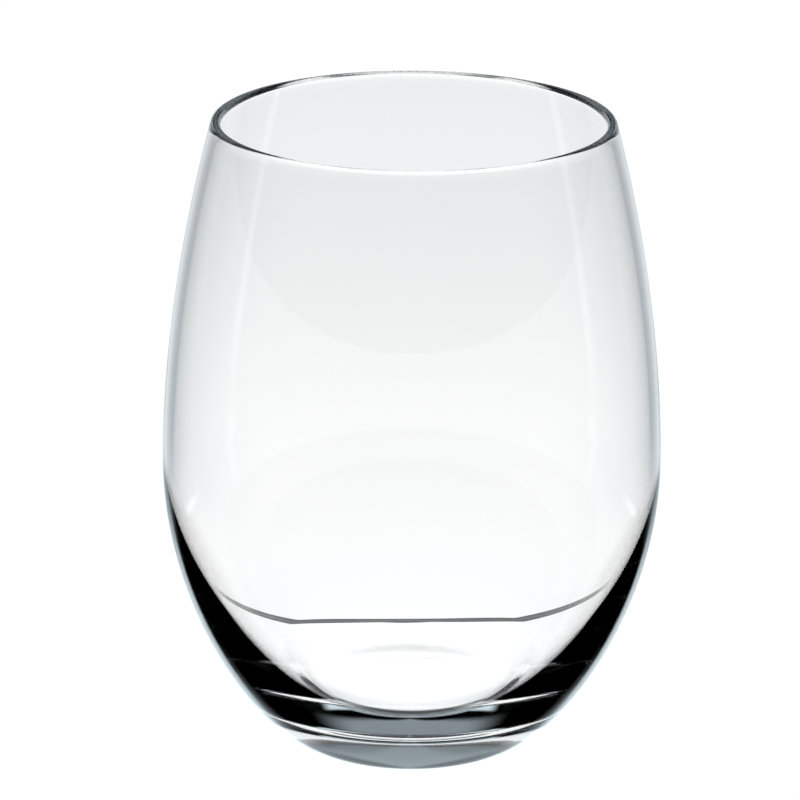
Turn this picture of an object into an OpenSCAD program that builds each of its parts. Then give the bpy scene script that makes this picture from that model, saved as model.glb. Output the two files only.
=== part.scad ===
// Stemless wine glass: a thin blown bowl that thickens into a heavy, solid base.
// One half outline is turned about Z and cut into the zones that the making leaves on
// the glass. The zones meet face to face on flat rings. Units are millimetres, Z points
// up and the origin is the centre of the plane that the glass stands on.

/* [Outside] */
// Height from the table to the top of the rim
glass_h = 120; // [112:0.5:128]
// Diameter of the belly, the widest place
belly_d = 92.8; // [89:0.2:98]
// Height of the belly above the table
belly_z = 54.6; // [52:0.2:58]
// Outside diameter where the wall meets the rounded rim
rim_d = 74.6; // [70:0.2:78]
// Inward lean of the wall at the rim, in degrees
rim_lean = 15; // [10:0.5:20]
// Length over which the wall holds that lean below the rim
rim_run = 21.6; // [16:0.1:26]
// Length over which the wall stays near upright above the belly
belly_rise = 20.5; // [16:0.1:26]
// Length over which the wall stays near upright below the belly
belly_fall = 27.5; // [25:0.1:30]

/* [Foot] */
// Outside diameter of the ring that the glass stands on
foot_d = 37.8; // [36.8:0.2:40]
// Angle at which the outside leaves the table, in degrees
foot_angle = 9.8; // [8:0.1:14]
// Length over which the outside holds that angle
foot_run = 10.3; // [9:0.1:12]
// Width of the flat ring that rests on the table
ring_w = 1.6; // [1:0.1:3]
// Height of the hollow under the middle of the base
push_up = 0.4; // [0.35:0.05:1.2]
// How the hollow meets its ring: 0.5 has an upright side, 1 is a shallow bowl, more has a softer brim
push_shape = 1.25; // [0.9:0.05:1.6]

/* [Inside] */
// Thickness of the bowl's wall
wall_t = 1.9; // [1.4:0.1:2.4]
// Thickness of the base, from the table to the middle of the inner floor
floor_z = 9.75; // [9:0.05:11.5]
// Thickness of the glass beside the dished inner floor, measured level
heel_t = 10.15; // [9:0.05:12]
// Slope of the inner floor at its edge, in degrees
floor_edge = 4.9; // [3:0.1:7]
// Radius of the heel's curve, next to the inner floor
heel_r = 9.4; // [8:0.1:11]
// Steepest slope of the heel's curve, in degrees
heel_slope = 43.3; // [41:0.1:46]
// Length over which the heel holds that slope
heel_run = 11.9; // [9:0.1:14]
// Length over which the inside stays near upright below the belly
inside_fall = 16.7; // [13:0.1:20]

/* [Zones] */
// Height of the rounded rim zone
rim_h = 3; // [2:0.1:5]
// Height at which the bowl's even wall gives way to the heel
heel_top = 46; // [40:0.5:52]
// Height at which the heel gives way to the solid base
base_top = 14; // [12:0.1:17]
// Height of the foot ring zone
foot_h = 0.3; // [0.15:0.05:0.3]

/* [Hidden] */
// Pieces in each stretch of the outline: the large curves, and the small ones
large_steps = 24;
small_steps = 10;

belly_r = belly_d / 2;
foot_r = foot_d / 2;
push_r = foot_r - ring_w;
lip_r = wall_t / 2;
rim_z = glass_h - lip_r * (1 - sin(rim_lean));
clear_of_glass = 1;

glass_tint = [0.86, 0.90, 0.93, 0.45];

// Point of a cubic curve with four corner points, and its heading there
function bezier(p, t) =
    pow(1 - t, 3) * p[0] + 3 * t * pow(1 - t, 2) * p[1] + 3 * t * t * (1 - t) * p[2] + pow(t, 3) * p[3];
function slope_of(p, t) =
    pow(1 - t, 2) * (p[1] - p[0]) + 2 * t * (1 - t) * (p[2] - p[1]) + t * t * (p[3] - p[2]);
function heading(p, t) = slope_of(p, t) / norm(slope_of(p, t));
function left_of(d) = [-d[1], d[0]];

// Corner points of the outer curve below and above the belly
lower = [
    [foot_r, 0],
    [foot_r + foot_run * cos(foot_angle), foot_run * sin(foot_angle)],
    [belly_r, belly_z - belly_fall],
    [belly_r, belly_z]
];
upper = [
    [belly_r, belly_z],
    [belly_r, belly_z + belly_rise],
    [rim_d / 2 + rim_run * sin(rim_lean), rim_z - rim_run * cos(rim_lean)],
    [rim_d / 2, rim_z]
];

// Middle of the rounded rim, half the wall's thickness inside the end of the outer curve
rim_mid = upper[3] + lip_r * left_of(heading(upper, 1));

// The dished inner floor, set in from the outer curve
function outer_r(z) =
    lookup(z, [for (i = [0:large_steps]) let (p = bezier(lower, i / large_steps)) [p[1], p[0]]]);
floor_r = outer_r(floor_z) - heel_t;
floor_curve_r = floor_r / sin(floor_edge);
floor_edge_z = floor_z + floor_curve_r * (1 - cos(floor_edge));

// Point of the heel's curve at one slope, and the corner points of the inside above it
function heel_at(a) = [
    floor_r + heel_r * (sin(a) - sin(floor_edge)),
    floor_edge_z + heel_r * (cos(floor_edge) - cos(a))
];
inside = [
    [belly_r - wall_t, belly_z],
    [belly_r - wall_t, belly_z - inside_fall],
    heel_at(heel_slope) + heel_run * [cos(heel_slope), sin(heel_slope)],
    heel_at(heel_slope)
];

// The half outline, from under the middle, up the outside, over the rim and down to the floor
under_line = [
    for (i = [0:small_steps])
        let (a = 90 * i / small_steps)
        [push_r * sin(a), push_up * pow(cos(a), 2 * push_shape)]
];
outer_line = concat(
    [for (i = [0:large_steps]) bezier(lower, i / large_steps)],
    [for (i = [1:large_steps - 1]) bezier(upper, i / large_steps)]
);
rim_line = [
    for (i = [0:small_steps])
        let (a = 180 * i / small_steps)
        rim_mid + lip_r * (heading(upper, 1) * sin(a) - left_of(heading(upper, 1)) * cos(a))
];
wall_line = [
    for (i = [large_steps - 1:-1:1])
        let (t = i / large_steps)
        bezier(upper, t) + wall_t * left_of(heading(upper, t))
];
inside_line = [for (i = [0:large_steps - 1]) bezier(inside, i / large_steps)];
heel_line = [
    for (i = [0:small_steps - 1])
        heel_at(heel_slope + (floor_edge - heel_slope) * i / small_steps)
];
floor_line = [
    for (i = [0:small_steps])
        let (a = floor_edge * (1 - i / small_steps))
        [floor_curve_r * sin(a), floor_z + floor_curve_r * (1 - cos(a))]
];
half_outline = concat(under_line, outer_line, rim_line, wall_line, inside_line, heel_line, floor_line);

// The part of the turned outline between two heights
module zone(from_z, to_z) {
    color(glass_tint)
        rotate_extrude()
            intersection() {
                polygon(half_outline);
                translate([0, from_z])
                    square([belly_r + clear_of_glass, to_z - from_z]);
            }
}

// Rounded drinking edge
module rim() {
    zone(glass_h - rim_h, glass_h + clear_of_glass);
}

// Even, thin wall from under the rim past the belly
module bowl() {
    zone(heel_top, glass_h - rim_h);
}

// Wall that thickens towards the base
module heel() {
    zone(base_top, heel_top);
}

// Solid bottom with the dished inner floor
module base() {
    zone(foot_h, base_top);
}

// Narrow ring that the glass stands on, around the hollow under the base
module foot_ring() {
    zone(0, foot_h);
}

rim();
bowl();
heel();
base();
foot_ring();
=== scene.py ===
"""Clear stemless wine glass on a bright table.

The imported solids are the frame. One turned body of glass is grown over them by a geometry
node tree, from the same named sizes, and stands on a plain pale floor in soft light.
"""

import logging
import math
from dataclasses import dataclass, field, fields
from enum import Enum
from typing import Callable, ClassVar, Sequence, Union

import bpy
from mathutils import Matrix


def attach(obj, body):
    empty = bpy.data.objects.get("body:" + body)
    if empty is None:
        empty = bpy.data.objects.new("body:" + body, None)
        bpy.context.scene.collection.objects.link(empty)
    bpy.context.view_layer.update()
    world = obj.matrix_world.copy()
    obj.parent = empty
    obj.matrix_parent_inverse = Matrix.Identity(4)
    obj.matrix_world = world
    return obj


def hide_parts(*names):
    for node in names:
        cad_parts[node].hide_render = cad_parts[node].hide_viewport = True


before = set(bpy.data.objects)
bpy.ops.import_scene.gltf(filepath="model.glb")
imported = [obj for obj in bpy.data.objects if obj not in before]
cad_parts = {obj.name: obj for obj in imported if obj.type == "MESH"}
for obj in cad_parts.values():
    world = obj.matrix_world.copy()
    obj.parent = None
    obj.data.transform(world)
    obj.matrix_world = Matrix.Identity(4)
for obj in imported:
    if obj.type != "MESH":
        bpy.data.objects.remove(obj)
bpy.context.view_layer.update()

Span = tuple[float, float]
Colour = tuple[float, float, float, float]

LOG = logging.getLogger("stemless_glass")
MM = 0.001
DEGREES = 180 / math.pi
WHITE: Colour = (1.0, 1.0, 1.0, 1.0)
ROOT_BODY = "root"
ZONES = ("rim", "bowl", "heel", "base", "foot_ring")


class Stretch(Enum):
    """Stretches of the half outline, in order: each one's name, and its number of steps."""

    UNDERSIDE = ("underside", 24)
    BEARING_RING = ("bearing_ring", 2)
    LOWER_OUTSIDE = ("lower_outside", 64)
    UPPER_OUTSIDE = ("upper_outside", 44)
    LIP = ("lip", 16)
    UPPER_INSIDE = ("upper_inside", 45)
    LOWER_INSIDE = ("lower_inside", 63)
    HEEL = ("heel", 25)
    FLOOR = ("floor", 17)

    def __init__(self, label: str, steps: int) -> None:
        """Keeps the stretch's name and its number of steps."""
        self.label = label
        self.steps = steps


class Flow:
    """A number or a vector that flows through a node tree, with plain arithmetic."""

    def __init__(self, bench: "Bench", socket: bpy.types.NodeSocket) -> None:
        """Keeps the bench that the flow belongs to, and the socket that it comes from."""
        self.bench = bench
        self.socket = socket

    def __add__(self, other: "Number") -> "Flow":
        """Sum."""
        return self.bench.math("ADD", self, other)

    def __radd__(self, other: float) -> "Flow":
        """Sum with a plain number on the left."""
        return self.bench.math("ADD", other, self)

    def __sub__(self, other: "Number") -> "Flow":
        """Difference."""
        return self.bench.math("SUBTRACT", self, other)

    def __rsub__(self, other: float) -> "Flow":
        """Difference with a plain number on the left."""
        return self.bench.math("SUBTRACT", other, self)

    def __mul__(self, other: "Number") -> "Flow":
        """Product."""
        return self.bench.math("MULTIPLY", self, other)

    def __rmul__(self, other: float) -> "Flow":
        """Product with a plain number on the left."""
        return self.bench.math("MULTIPLY", other, self)

    def __truediv__(self, other: "Number") -> "Flow":
        """Quotient."""
        return self.bench.math("DIVIDE", self, other)

    def __pow__(self, other: "Number") -> "Flow":
        """Power."""
        return self.bench.math("POWER", self, other)

    def __neg__(self) -> "Flow":
        """The same with the other sign."""
        return self.bench.math("MULTIPLY", self, -1.0)

    def __abs__(self) -> "Flow":
        """The same without a sign."""
        return self.bench.math("ABSOLUTE", self)


Number = Union[float, Flow]


class Bench:
    """Adds nodes to one node tree and joins them up."""

    def __init__(self, tree: bpy.types.NodeTree) -> None:
        """Keeps the tree."""
        self.tree = tree

    def node(self, kind: str, inputs: dict[Union[str, int], object] | None = None,
             **settings: object) -> bpy.types.Node:
        """Adds one node.

        Args:
            kind: Blender's name for the node's type.
            inputs: Values or flows for its input sockets, by name or place.
            settings: Values for its own properties.

        Returns:
            The new node.
        """
        made = self.tree.nodes.new(kind)
        for name, value in settings.items():
            setattr(made, name, value)
        for key, value in (inputs or {}).items():
            self.feed(made.inputs[key], value)
        return made

    def feed(self, socket: bpy.types.NodeSocket, value: object) -> None:
        """Joins a flow or a socket to an input, or sets a plain value on it.

        Args:
            socket: Input to feed.
            value: Flow, output socket or plain value.
        """
        if isinstance(value, Flow):
            self.tree.links.new(value.socket, socket)
        elif isinstance(value, bpy.types.NodeSocket):
            self.tree.links.new(value, socket)
        else:
            socket.default_value = value

    def math(self, operation: str, *values: Number) -> Flow:
        """Adds one Math node.

        Args:
            operation: Blender's name for the operation.
            values: Its operands.

        Returns:
            The result.
        """
        made = self.node("ShaderNodeMath", dict(enumerate(values)), operation=operation)
        return Flow(self, made.outputs[0])

    def sin(self, angle: Number) -> Flow:
        """Sine of an angle in radians."""
        return self.math("SINE", angle)

    def cos(self, angle: Number) -> Flow:
        """Cosine of an angle in radians."""
        return self.math("COSINE", angle)

    def length(self, across: Flow, along: Flow) -> Flow:
        """Length of a vector from its two parts."""
        return (across * across + along * along) ** 0.5

    def bell(self, value: Flow, spread: float) -> Flow:
        """Bell curve around 0, with 1 at its top."""
        return self.math("EXPONENT", -((value / spread) ** 2.0))

    def aside(self, x: Flow, y: Flow) -> Flow:
        """Angle to either side of straight back, in degrees."""
        return abs(self.math("ARCTAN2", x, y)) * DEGREES

    def ease(self, value: Number, span: Span, low: float = 0.0, high: float = 1.0) -> Flow:
        """Smooth step across a span.

        Args:
            value: What is measured.
            span: Where the step begins, and where it ends.
            low: Result before the step.
            high: Result after it.

        Returns:
            The eased result.
        """
        made = self.node("ShaderNodeMapRange", {"Value": value, "From Min": span[0], "From Max": span[1],
                                                "To Min": low, "To Max": high},
                         interpolation_type="SMOOTHSTEP")
        return Flow(self, made.outputs["Result"])

    def fade(self, value: Number, span: Span, full: float = 1.0) -> Flow:
        """Smooth step down to 0 across a span."""
        return self.ease(value, span, full, 0.0)

    def noise(self, place: bpy.types.NodeSocket, scale: float, detail: float) -> Flow:
        """Even noise.

        Args:
            place: Coordinates.
            scale: How fine the noise is.
            detail: How many finer layers it has.

        Returns:
            Its value, from 0 to 1.
        """
        made = self.node("ShaderNodeTexNoise", {"Vector": place, "Scale": scale, "Detail": detail})
        return Flow(self, made.outputs[0])

    def split(self, vector: bpy.types.NodeSocket) -> tuple[Flow, Flow, Flow]:
        """Parts of a vector: x, y and z."""
        made = self.node("ShaderNodeSeparateXYZ", {0: vector})
        return Flow(self, made.outputs[0]), Flow(self, made.outputs[1]), Flow(self, made.outputs[2])

    def vector(self, x: Number, y: Number, z: Number) -> Flow:
        """Vector from its parts."""
        made = self.node("ShaderNodeCombineXYZ", {0: x, 1: y, 2: z})
        return Flow(self, made.outputs[0])

    def blend(self, share: Flow, first: object, second: object) -> Flow:
        """Mixes two colours.

        Args:
            share: Share of the second colour.
            first: Flow or plain colour.
            second: Flow or plain colour.

        Returns:
            The mixed colour.
        """
        made = self.node("ShaderNodeMix", {0: share, 6: first, 7: second}, data_type="RGBA")
        return Flow(self, made.outputs[2])


def bare_material(name: str) -> tuple[bpy.types.Material, Bench]:
    """Makes a material with an empty node tree.

    Args:
        name: Name of the finish.

    Returns:
        The material, and the bench of its tree.
    """
    made = bpy.data.materials.new(name)
    made.use_nodes = True
    made.node_tree.nodes.clear()
    return made, Bench(made.node_tree)


def around(middle: float, half: float) -> Span:
    """Span around a middle, from half its width."""
    return middle - half, middle + half


@dataclass(frozen=True)
class Point:
    """A place on the half outline: distance from the axis, and height."""

    r: Number
    z: Number

    def towards(self, other: "Point", share: Number) -> "Point":
        """The place a share of the way to another."""
        return Point(self.r + (other.r - self.r) * share, self.z + (other.z - self.z) * share)

    def moved(self, heading: "Point", length: Number) -> "Point":
        """The place a length further along a heading."""
        return Point(self.r + heading.r * length, self.z + heading.z * length)


@dataclass
class GlassSizes:
    """Sizes of the glass, in millimetres and degrees, as the solids have them."""

    height: float = 120.0
    belly_diameter: float = 92.8
    belly_height: float = 54.6
    rim_diameter: float = 74.6
    rim_lean: float = 15.0
    rim_run: float = 21.6
    belly_rise: float = 20.5
    belly_fall: float = 27.5
    foot_diameter: float = 37.8
    foot_angle: float = 9.8
    foot_run: float = 10.3
    ring_width: float = 1.6
    push_up: float = 0.4
    push_shape: float = 1.25
    wall: float = 1.9
    floor_height: float = 9.75
    floor_diameter: float = 42.21
    floor_edge: float = 4.9
    heel_radius: float = 9.4
    heel_slope: float = 43.3
    heel_run: float = 11.9
    inside_fall: float = 16.7

    ANGLES: ClassVar[tuple[str, ...]] = ("rim_lean", "foot_angle", "floor_edge", "heel_slope")
    RATIOS: ClassVar[tuple[str, ...]] = ("push_shape",)

    def value(self, name: str) -> float:
        """A size in metres, an angle in radians, or a plain ratio.

        Args:
            name: Name of the field.

        Returns:
            Its value in the units of the node tree.
        """
        stated = getattr(self, name)
        if name in self.ANGLES:
            return math.radians(stated)
        return stated if name in self.RATIOS else stated * MM


@dataclass(frozen=True)
class ClearGlass:
    """Polished soda-lime glass: neutral in the thin wall, a little cooler in the thick base.

    Heights are in metres. Each scale belongs to the pattern in its name.
    """

    ior: float = 1.52
    wall_tint: Colour = (0.998, 0.999, 1.0, 1.0)
    base_tint: Colour = (0.965, 0.982, 0.992, 1.0)
    tint_heights: Span = (0.004, 0.034)
    scuff: float = 0.22
    scuff_scale: float = 900.0
    scuff_top: Span = (0.00002, 0.00012)
    hairline: float = 0.16
    hairline_scale: float = 95.0
    hairline_edge: Span = (0.002, 0.006)
    hairline_foot: Span = (0.0085, 0.0092)
    hairline_top: Span = (0.0112, 0.0120)
    patch_scale: float = 130.0
    patch_edge: Span = (0.66, 0.70)
    wave_scale: float = 34.0
    wave_squeeze: tuple[float, float, float] = (1.0, 1.0, 0.25)
    wave_foot: Span = (0.045, 0.075)
    wave_strength: float = 0.05
    wave_depth: float = 0.0004

    def material(self) -> bpy.types.Material:
        """Builds the finish.

        Returns:
            A procedural glass material.
        """
        made, bench = bare_material("clear_glass")
        coords = bench.node("ShaderNodeTexCoord").outputs["Object"]
        _, _, z = bench.split(coords)
        tint = bench.blend(bench.ease(z, self.tint_heights), self.base_tint, self.wall_tint)
        shader = bench.node("ShaderNodeBsdfPrincipled", {
            "Base Color": tint, "Roughness": self._wear(bench, coords, z),
            "IOR": self.ior, "Transmission Weight": 1.0,
            "Normal": self._drawn_wall(bench, coords, z)})
        bench.node("ShaderNodeOutputMaterial", {"Surface": shader.outputs[0]})
        return made

    def _wear(self, bench: Bench, coords: bpy.types.NodeSocket, z: Flow) -> Flow:
        """Scuffs on the bearing ring, and sparse fine hairlines at the height of the inner floor.

        Args:
            bench: Bench of the material.
            coords: Object coordinates.
            z: Height on the glass.

        Returns:
            Roughness over the surface.
        """
        ring = bench.fade(z, self.scuff_top) * bench.noise(coords, self.scuff_scale, 3.0) * self.scuff
        cells = bench.node("ShaderNodeTexVoronoi", {"Vector": coords, "Scale": self.hairline_scale,
                                                    "Randomness": 1.0}, feature="DISTANCE_TO_EDGE")
        line = bench.fade(Flow(bench, cells.outputs[0]), self.hairline_edge)
        sparse = bench.ease(bench.noise(coords, self.patch_scale, 1.0), self.patch_edge)
        inside = bench.ease(z, self.hairline_foot) * bench.fade(z, self.hairline_top)
        return ring + line * sparse * inside * self.hairline

    def _drawn_wall(self, bench: Bench, coords: bpy.types.NodeSocket, z: Flow) -> bpy.types.NodeSocket:
        """Very slight long waves that drawing the wall leaves in the bowl.

        Args:
            bench: Bench of the material.
            coords: Object coordinates.
            z: Height on the glass.

        Returns:
            Normal over the surface.
        """
        along = bench.node("ShaderNodeMapping", {"Vector": coords, "Scale": self.wave_squeeze})
        height = bench.noise(along.outputs[0], self.wave_scale, 0.0) * bench.ease(z, self.wave_foot)
        bump = bench.node("ShaderNodeBump", {"Strength": self.wave_strength, "Distance": self.wave_depth,
                                             "Height": height})
        return bump.outputs[0]


class GlassOutline:
    """The half outline of the glass, as formulas over the named sizes of a node tree."""

    def __init__(self, bench: Bench, size: dict[str, Flow]) -> None:
        """Works out the places that the stretches share.

        Args:
            bench: Bench of the tree.
            size: The tree's named inputs.
        """
        self.bench = bench
        self.size = size
        self.belly = Point(size["belly_diameter"] / 2, size["belly_height"])
        self.foot = Point(size["foot_diameter"] / 2, 0.0)
        self.push = Point(self.foot.r - size["ring_width"], 0.0)
        self.lip_r = size["wall"] / 2
        lean = size["rim_lean"]
        rim = Point(size["rim_diameter"] / 2, size["height"] - self.lip_r * (1 - bench.sin(lean)))
        self.up_rim = Point(-bench.sin(lean), bench.cos(lean))
        self.in_rim = Point(-bench.cos(lean), -bench.sin(lean))
        self.lip_middle = rim.moved(self.in_rim, self.lip_r)
        leave = size["foot_angle"]
        self.lower = (self.foot, self.foot.moved(Point(bench.cos(leave), bench.sin(leave)), size["foot_run"]),
                      Point(self.belly.r, self.belly.z - size["belly_fall"]), self.belly)
        self.upper = (self.belly, Point(self.belly.r, self.belly.z + size["belly_rise"]),
                      rim.moved(self.up_rim, -size["rim_run"]), rim)
        self.floor_r = size["floor_diameter"] / 2 / bench.sin(size["floor_edge"])
        self.floor_edge_z = size["floor_height"] + self.floor_r * (1 - bench.cos(size["floor_edge"]))
        inner = Point(self.belly.r - size["wall"], self.belly.z)
        slope = size["heel_slope"]
        turn = self.heel_at(slope)
        self.inside = (inner, Point(inner.r, inner.z - size["inside_fall"]),
                       turn.moved(Point(bench.cos(slope), bench.sin(slope)), size["heel_run"]), turn)

    def heel_at(self, slope: Flow) -> Point:
        """Place on the heel's curve where it has a slope.

        Args:
            slope: Slope there, in radians.

        Returns:
            The place.
        """
        edge = self.size["floor_edge"]
        bench, radius = self.bench, self.size["heel_radius"]
        return Point(self.size["floor_diameter"] / 2 + radius * (bench.sin(slope) - bench.sin(edge)),
                     self.floor_edge_z + radius * (bench.cos(edge) - bench.cos(slope)))

    def curve(self, corners: Sequence[Point], share: Flow) -> tuple[Point, Point]:
        """Place on a cubic curve, and the heading there.

        Args:
            corners: The curve's four corner points.
            share: How far along, from 0 to 1.

        Returns:
            The place, and a heading of length 1.
        """
        near = [a.towards(b, share) for a, b in zip(corners, corners[1:])]
        back, ahead = [a.towards(b, share) for a, b in zip(near, near[1:])]
        rise, run = ahead.z - back.z, ahead.r - back.r
        length = self.bench.length(rise, run)
        return back.towards(ahead, share), Point(run / length, rise / length)

    def underside(self, share: Flow) -> Point:
        """Shallow hollow under the base.

        Args:
            share: How far along, from 0 to 1.

        Returns:
            The place.
        """
        angle = share * (math.pi / 2)
        lift = self.bench.math("MAXIMUM", self.bench.cos(angle), 0.0) ** (self.size["push_shape"] * 2)
        return Point(self.push.r * self.bench.sin(angle), self.size["push_up"] * lift)

    def bearing_ring(self, share: Flow) -> Point:
        """Flat ring that stands on the table."""
        return self.push.towards(self.foot, share)

    def lower_outside(self, share: Flow) -> Point:
        """Outside below the belly."""
        return self.curve(self.lower, share)[0]

    def upper_outside(self, share: Flow) -> Point:
        """Outside above the belly."""
        return self.curve(self.upper, share)[0]

    def lip(self, share: Flow) -> Point:
        """Rounded drinking edge.

        Args:
            share: How far along, from 0 to 1.

        Returns:
            The place.
        """
        angle = share * math.pi
        out = self.lip_middle.moved(self.in_rim, -(self.lip_r * self.bench.cos(angle)))
        return out.moved(self.up_rim, self.lip_r * self.bench.sin(angle))

    def upper_inside(self, share: Flow) -> Point:
        """Inside above the belly, one wall's thickness from the outside."""
        place, heading = self.curve(self.upper, 1 - share)
        return place.moved(Point(-heading.z, heading.r), self.size["wall"])

    def lower_inside(self, share: Flow) -> Point:
        """Inside below the belly, where the wall thickens."""
        return self.curve(self.inside, share)[0]

    def heel(self, share: Flow) -> Point:
        """Curve between the wall and the inner floor."""
        slope = self.size["heel_slope"]
        return self.heel_at(slope + (self.size["floor_edge"] - slope) * share)

    def floor(self, share: Flow) -> Point:
        """Slightly dished inner floor.

        Args:
            share: How far along, from 0 to 1.

        Returns:
            The place.
        """
        angle = self.size["floor_edge"] * (1 - share)
        return Point(self.floor_r * self.bench.sin(angle),
                     self.size["floor_height"] + self.floor_r * (1 - self.bench.cos(angle)))


@dataclass
class GlassBody:
    """The whole glass: one closed body, turned about its axis."""

    sizes: GlassSizes = field(default_factory=GlassSizes)
    finish: ClearGlass = field(default_factory=ClearGlass)
    name: str = "glass_body"
    turn_steps: int = 256
    weld: float = 0.5e-6
    crease: float = 30.0

    def build(self) -> bpy.types.Object:
        """Grows the glass and hands it to the frame.

        Returns:
            The finished piece.
        """
        tree, names = self._tree(self.finish.material())
        carrier = bpy.data.objects.new(f"{self.name}_carrier", bpy.data.meshes.new(f"{self.name}_carrier"))
        bpy.context.scene.collection.objects.link(carrier)
        grown = carrier.modifiers.new("turned_glass", "NODES")
        grown.node_group = tree
        for size_name, identifier in names.items():
            grown[identifier] = self.sizes.value(size_name)
        shown = carrier.evaluated_get(bpy.context.evaluated_depsgraph_get())
        mesh = bpy.data.meshes.new_from_object(shown)
        bpy.data.objects.remove(carrier)
        mesh.name = self.name
        piece = bpy.data.objects.new(self.name, mesh)
        bpy.context.scene.collection.objects.link(piece)
        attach(piece, ROOT_BODY)
        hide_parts(*ZONES)
        return piece

    def _tree(self, material: bpy.types.Material) -> tuple[bpy.types.NodeTree, dict[str, str]]:
        """Builds the node tree that turns the half outline.

        Args:
            material: Finish of the glass.

        Returns:
            The tree, and the identifier of each named input.
        """
        tree = bpy.data.node_groups.new("turned_glass", "GeometryNodeTree")
        names = {}
        for item in fields(self.sizes):
            socket = tree.interface.new_socket(item.name, in_out="INPUT", socket_type="NodeSocketFloat")
            names[item.name] = socket.identifier
        tree.interface.new_socket("Geometry", in_out="OUTPUT", socket_type="NodeSocketGeometry")
        bench = Bench(tree)
        entry = bench.node("NodeGroupInput")
        outline = GlassOutline(bench, {name: Flow(bench, entry.outputs[name]) for name in names})
        join = bench.node("GeometryNodeJoinGeometry")
        for stretch in Stretch:
            tree.links.new(self._band(bench, stretch, getattr(outline, stretch.label)), join.inputs[0])
        welded = bench.node("GeometryNodeMergeByDistance", {
            "Geometry": join.outputs[0], "Distance": self.weld})
        smooth = bench.node("GeometryNodeSetShadeSmooth", {
            "Geometry": welded.outputs[0], "Shade Smooth": True})
        angle = bench.node("GeometryNodeInputMeshEdgeAngle").outputs[0]
        sharp = bench.math("GREATER_THAN", Flow(bench, angle), math.radians(self.crease))
        creased = bench.node("GeometryNodeSetShadeSmooth", {
            "Geometry": smooth.outputs[0], "Selection": sharp, "Shade Smooth": False}, domain="EDGE")
        real = bench.node("GeometryNodeRealizeInstances", {"Geometry": creased.outputs[0]})
        dressed = bench.node("GeometryNodeSetMaterial", {"Geometry": real.outputs[0], "Material": material})
        bench.node("NodeGroupOutput", {0: dressed.outputs[0]})
        return tree, names

    def _band(self, bench: Bench, stretch: Stretch,
              line: Callable[[Flow], Point]) -> bpy.types.NodeSocket:
        """Turns one stretch of the outline about the axis, clockwise, so that its faces point outwards.

        Args:
            bench: Bench of the tree.
            stretch: Which stretch.
            line: Gives the place at a share of the stretch.

        Returns:
            The band's mesh.
        """
        grid = bench.node("GeometryNodeMeshGrid", {
            "Size X": 1.0, "Size Y": 1.0, "Vertices X": stretch.steps + 1,
            "Vertices Y": self.turn_steps + 1}, label=stretch.label)
        along, turned, _ = bench.split(grid.outputs["UV Map"])
        place = line(along)
        angle = turned * (-2 * math.pi)
        where = bench.vector(place.r * bench.cos(angle), place.r * bench.sin(angle), place.z)
        band = bench.node("GeometryNodeSetPosition", {"Geometry": grid.outputs["Mesh"], "Position": where})
        return band.outputs[0]


@dataclass(frozen=True)
class FootShadow:
    """Shadow of the base on the table: a crescent under the front of the foot."""

    rear: float = -0.0152
    radius: float = 0.041
    soft: float = 0.0009
    reach: Span = (0.0205, 0.0235)
    shade: float = 0.97

    def light_left(self, bench: Bench, x: Flow, y: Flow) -> Flow:
        """Share of the light that the shadow leaves.

        Args:
            bench: Bench of the material.
            x: Place across the table.
            y: Place along it.

        Returns:
            The share, from 0 to 1.
        """
        past = bench.length(x, y - self.rear - self.radius) - self.radius
        dark = bench.ease(past, around(0.0, self.soft)) * bench.fade(bench.length(x, y), self.reach)
        return 1 - dark * self.shade


@dataclass(frozen=True)
class TableSeam:
    """Dark seam across the table, just behind the foot, with darker edges and a slight bow."""

    place: float = 0.0314
    bow: float = 0.0036
    bow_spread: float = 0.017
    turn: float = 0.067
    half: float = 0.0018
    edge: float = 0.0007
    soft: float = 0.0002
    ends: Span = (0.046, 0.060)
    shade: float = 0.86
    edge_shade: float = 0.6

    def light_left(self, bench: Bench, x: Flow, y: Flow) -> Flow:
        """Share of the light that the seam leaves.

        Args:
            bench: Bench of the material.
            x: Place across the table.
            y: Place along it.

        Returns:
            The share, from 0 to 1.
        """
        middle = self.place + self.bow * (1 - bench.bell(x, self.bow_spread)) + x * self.turn
        off = abs(y - middle)
        within = bench.fade(off, around(self.half, self.soft))
        edge = bench.ease(off, around(self.half - self.edge, self.soft)) * within
        inside = within * bench.fade(abs(x), self.ends)
        return (1 - inside * self.shade) * (1 - edge * inside * self.edge_shade)


@dataclass(frozen=True)
class SideStrips:
    """Two bright strips on the table, one to each side, that show as fine streaks on the bowl."""

    place: float = 0.0605
    edge: Span = (0.0045, 0.0075)
    near_end: Span = (0.110, 0.128)
    far_end: Span = (0.16, 0.20)
    light: float = 0.75

    def light_at(self, bench: Bench, x: Flow, y: Flow) -> Flow:
        """Light of the strips.

        Args:
            bench: Bench of the material.
            x: Place across the table.
            y: Place along it.

        Returns:
            How bright it is there.
        """
        across = bench.fade(abs(y - self.place), self.edge)
        side = abs(x)
        return across * bench.ease(side, self.near_end) * bench.fade(side, self.far_end) * self.light


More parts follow.
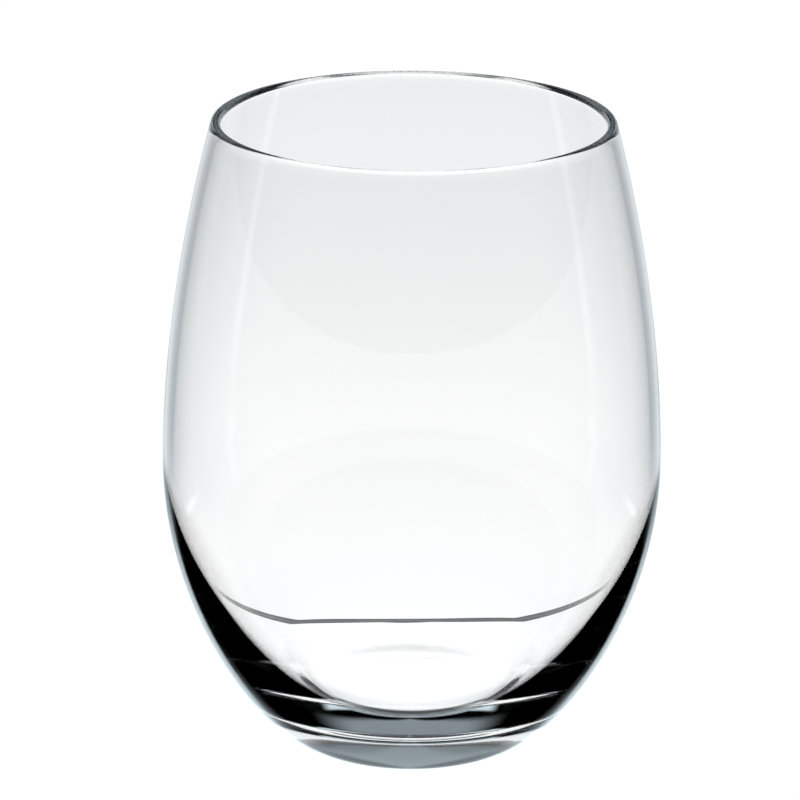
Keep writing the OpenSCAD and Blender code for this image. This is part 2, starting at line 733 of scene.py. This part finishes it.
@dataclass
class LightTable:
    """Plain pale floor, with a pool of light on it that shows only through the glass.

    Places and distances are in metres. The pool is dimmer and cooler to both sides behind the
    glass, between the angles dim_from and dim_to, in degrees from straight back.
    """

    reach: float = 60.0
    depth: float = 0.0003
    pale: float = 1.02
    far_light: float = 0.74
    far_from: Span = (0.15, 0.60)
    far_tint: Colour = (0.972, 0.985, 1.0, 1.0)
    pool_light: float = 0.42
    pool_reach: float = 0.28
    core_light: float = 0.26
    core_reach: float = 0.027
    dim_share: float = 0.34
    dim_from: Span = (14.0, 44.0)
    dim_to: Span = (70.0, 110.0)
    dim_clear: Span = (0.10, 0.25)
    dim_tint: Colour = (0.86, 0.95, 1.0, 1.0)
    shadow: FootShadow = field(default_factory=FootShadow)
    seam: TableSeam = field(default_factory=TableSeam)
    strips: SideStrips = field(default_factory=SideStrips)

    def build(self) -> None:
        """Lays the floor and the pool of light on it."""
        floor = self._sheet("floor", -2 * self.depth)
        floor.data.materials.append(self._pale_floor())
        self._show_to(floor, camera=True)
        pool = self._sheet("light_pool", -self.depth)
        pool.data.materials.append(self._pool())
        self._show_to(pool, transmission=True)

    def _show_to(self, sheet: bpy.types.Object, camera: bool = False, transmission: bool = False) -> None:
        """Sets which rays meet a sheet; it never shows in reflections or diffuse light, and casts no shadow.

        Args:
            sheet: Sheet on the table.
            camera: Whether the camera sees it directly.
            transmission: Whether it shows through the glass.
        """
        sheet.visible_camera = camera
        sheet.visible_transmission = transmission
        sheet.visible_glossy = sheet.visible_diffuse = sheet.visible_shadow = False

    def _sheet(self, name: str, z: float) -> bpy.types.Object:
        """Large flat square on the table.

        Args:
            name: Name of the sheet.
            z: Height.

        Returns:
            The sheet.
        """
        half = self.reach / 2
        mesh = bpy.data.meshes.new(name)
        corners = [(-half, -half, z), (half, -half, z), (half, half, z), (-half, half, z)]
        mesh.from_pydata(corners, [], [(0, 1, 2, 3)])
        made = bpy.data.objects.new(name, mesh)
        bpy.context.scene.collection.objects.link(made)
        return made

    def _glow(self, bench: Bench, colour: object, strength: Number) -> None:
        """Ends a material in light of its own.

        Args:
            bench: Bench of the material.
            colour: Flow or plain colour.
            strength: How bright it is.
        """
        light = bench.node("ShaderNodeEmission", {"Color": colour, "Strength": strength})
        bench.node("ShaderNodeOutputMaterial", {"Surface": light.outputs[0]})

    def _pale_floor(self) -> bpy.types.Material:
        """Even white that shows no shadow.

        Returns:
            The material.
        """
        made, bench = bare_material("pale_floor")
        self._glow(bench, WHITE, self.pale)
        return made

    def _pool(self) -> bpy.types.Material:
        """Light that falls off with distance, with the shadow, the seam and the strips on it.

        Returns:
            The material.
        """
        made, bench = bare_material("light_pool")
        x, y, _ = bench.split(bench.node("ShaderNodeTexCoord").outputs["Object"])
        away = bench.length(x, y)
        aside = bench.aside(x, y)
        dim = bench.ease(aside, self.dim_from) * bench.fade(aside, self.dim_to)
        dim = dim * bench.ease(away, self.dim_clear)
        fall = self.pool_light * ((away / self.pool_reach) ** 2.0 + 1.0) ** -1.0 + self.far_light
        core = self.core_light * bench.bell(away, self.core_reach)
        bright = fall * (1 - dim * self.dim_share) + core + self.strips.light_at(bench, x, y)
        left = self.seam.light_left(bench, x, y) * self.shadow.light_left(bench, x, y)
        tint = bench.blend(bench.ease(away, self.far_from), WHITE, self.far_tint)
        self._glow(bench, bench.blend(dim, tint, self.dim_tint), bright * left)
        return made


@dataclass(frozen=True)
class LowField:
    """Soft light from below the horizon behind the glass, with a stronger patch near the table."""

    light: float = 0.70
    edge: Span = (15.0, 34.0)
    patch_light: float = 1.3
    patch_edge: Span = (20.0, 27.0)
    patch_foot: Span = (-38.0, -31.0)
    patch_top: Span = (-25.0, -19.0)

    def light_at(self, bench: Bench, aside: Flow, rise: Flow) -> Flow:
        """Light of the field.

        Args:
            bench: Bench of the world.
            aside: Angle to either side of straight back.
            rise: Angle above the horizon.

        Returns:
            How bright it is there.
        """
        patch = bench.ease(rise, self.patch_foot) * bench.fade(rise, self.patch_top)
        return (bench.fade(aside, self.patch_edge, self.patch_light) * patch
                + bench.fade(aside, self.edge, self.light) * (1 - patch))


@dataclass(frozen=True)
class Backdrop:
    """Grey backdrop above the horizon, whose foot rises to both sides."""

    light: float = 0.33
    edge: Span = (20.0, 40.0)
    foot: Span = (6.0, 11.5)
    lift: float = 11.0
    bend: float = 12.0
    top: Span = (28.0, 52.0)

    def light_at(self, bench: Bench, aside: Flow, rise: Flow) -> Flow:
        """Light of the backdrop.

        Args:
            bench: Bench of the world.
            aside: Angle to either side of straight back.
            rise: Angle above the horizon.

        Returns:
            How bright it is there.
        """
        lift = self.lift * (1 - bench.math("EXPONENT", aside / -self.bend))
        return (bench.fade(aside, self.edge, self.light) * bench.ease(rise - lift, self.foot)
                * bench.fade(rise, self.top))


@dataclass(frozen=True)
class HorizonGlow:
    """Bright line along the horizon, which widens upwards to both sides."""

    light: float = 0.9
    edge: Span = (28.0, 33.0)
    top: Span = (4.5, 7.0)
    widen: float = 0.0085

    def light_at(self, bench: Bench, aside: Flow, rise: Flow) -> Flow:
        """Light of the line.

        Args:
            bench: Bench of the world.
            aside: Angle to either side of straight back.
            rise: Angle above the horizon.

        Returns:
            How bright it is there.
        """
        over = rise - aside * aside * self.widen
        return bench.fade(over, self.top, self.light) * bench.fade(aside, self.edge)


@dataclass
class Studio:
    """The room: dark, with a soft low field behind the glass, a bright horizon and a grey backdrop.

    All angles are in degrees, from straight back and from the horizon.
    """

    low_field: LowField = field(default_factory=LowField)
    backdrop: Backdrop = field(default_factory=Backdrop)
    glow: HorizonGlow = field(default_factory=HorizonGlow)
    tint: Colour = (0.80, 0.93, 1.0, 1.0)
    horizon_soft: float = 1.0
    bounces: int = 256

    def build(self) -> None:
        """Lights the scene from the world, and shows the camera a pale room."""
        scene = bpy.context.scene
        scene.world = bpy.data.worlds.new("studio")
        scene.world.use_nodes = True
        scene.world.node_tree.nodes.clear()
        bench = Bench(scene.world.node_tree)
        room = bench.node("ShaderNodeBackground", {"Color": self.tint, "Strength": self._light(bench)})
        pale = bench.node("ShaderNodeBackground", {"Color": WHITE, "Strength": 1.0})
        seen = bench.node("ShaderNodeLightPath").outputs["Is Camera Ray"]
        light = bench.node("ShaderNodeMixShader", {0: seen, 1: room.outputs[0], 2: pale.outputs[0]})
        bench.node("ShaderNodeOutputWorld", {"Surface": light.outputs[0]})
        scene.view_settings.view_transform = "Standard"
        scene.cycles.max_bounces = self.bounces
        scene.cycles.transmission_bounces = self.bounces
        scene.cycles.glossy_bounces = self.bounces

    def _light(self, bench: Bench) -> Flow:
        """Light of the room in each direction.

        Args:
            bench: Bench of the world.

        Returns:
            How bright it is.
        """
        x, y, z = bench.split(bench.node("ShaderNodeTexCoord").outputs["Generated"])
        aside = bench.aside(x, y)
        rise = bench.math("ARCSINE", z) * DEGREES
        below = bench.fade(rise, around(0.0, self.horizon_soft))
        low = self.low_field.light_at(bench, aside, rise)
        high = self.backdrop.light_at(bench, aside, rise) + self.glow.light_at(bench, aside, rise)
        return low * below + high * (1 - below)


@dataclass
class PhotoCamera:
    """Camera at the photograph's place, with its long lens.

    Distances are in metres, angles in degrees, and pixels are those of the photograph's frame.
    """

    distance: float = 0.960
    height: float = 0.3695
    focal_px: float = 5410.0
    frame_px: float = 800.0
    sensor: float = 36.0
    pitch: float = 17.87
    axis_px: Span = (412.7, 431.0)
    roll: float = 0.362
    clip: Span = (0.01, 100.0)

    def build(self) -> None:
        """Places the camera."""
        data = bpy.data.cameras.new("photo_camera")
        data.sensor_width = self.sensor
        data.lens = self.focal_px / self.frame_px * self.sensor
        data.clip_start, data.clip_end = self.clip
        camera = bpy.data.objects.new("photo_camera", data)
        bpy.context.scene.collection.objects.link(camera)
        middle = self.frame_px / 2
        yaw = math.atan((self.axis_px[0] - middle) / self.focal_px)
        pitch = math.radians(self.pitch) - math.atan((self.axis_px[1] - middle) / self.focal_px)
        turn = (Matrix.Rotation(yaw, 4, "Z") @ Matrix.Rotation(math.pi / 2 - pitch, 4, "X")
                @ Matrix.Rotation(math.radians(self.roll), 4, "Z"))
        camera.matrix_world = Matrix.Translation((0.0, -self.distance, self.height)) @ turn
        bpy.context.scene.camera = camera


def main() -> None:
    """Builds the camera, the room, the table and the glass, and reports the glass."""
    logging.basicConfig(level=logging.INFO, format="%(name)s: %(message)s")
    PhotoCamera().build()
    Studio().build()
    LightTable().build()
    glass = GlassBody().build()
    LOG.info("%s: %d faces, stands for %s", glass.name, len(glass.data.polygons), ", ".join(ZONES))


if __name__ == "__main__":
    main()
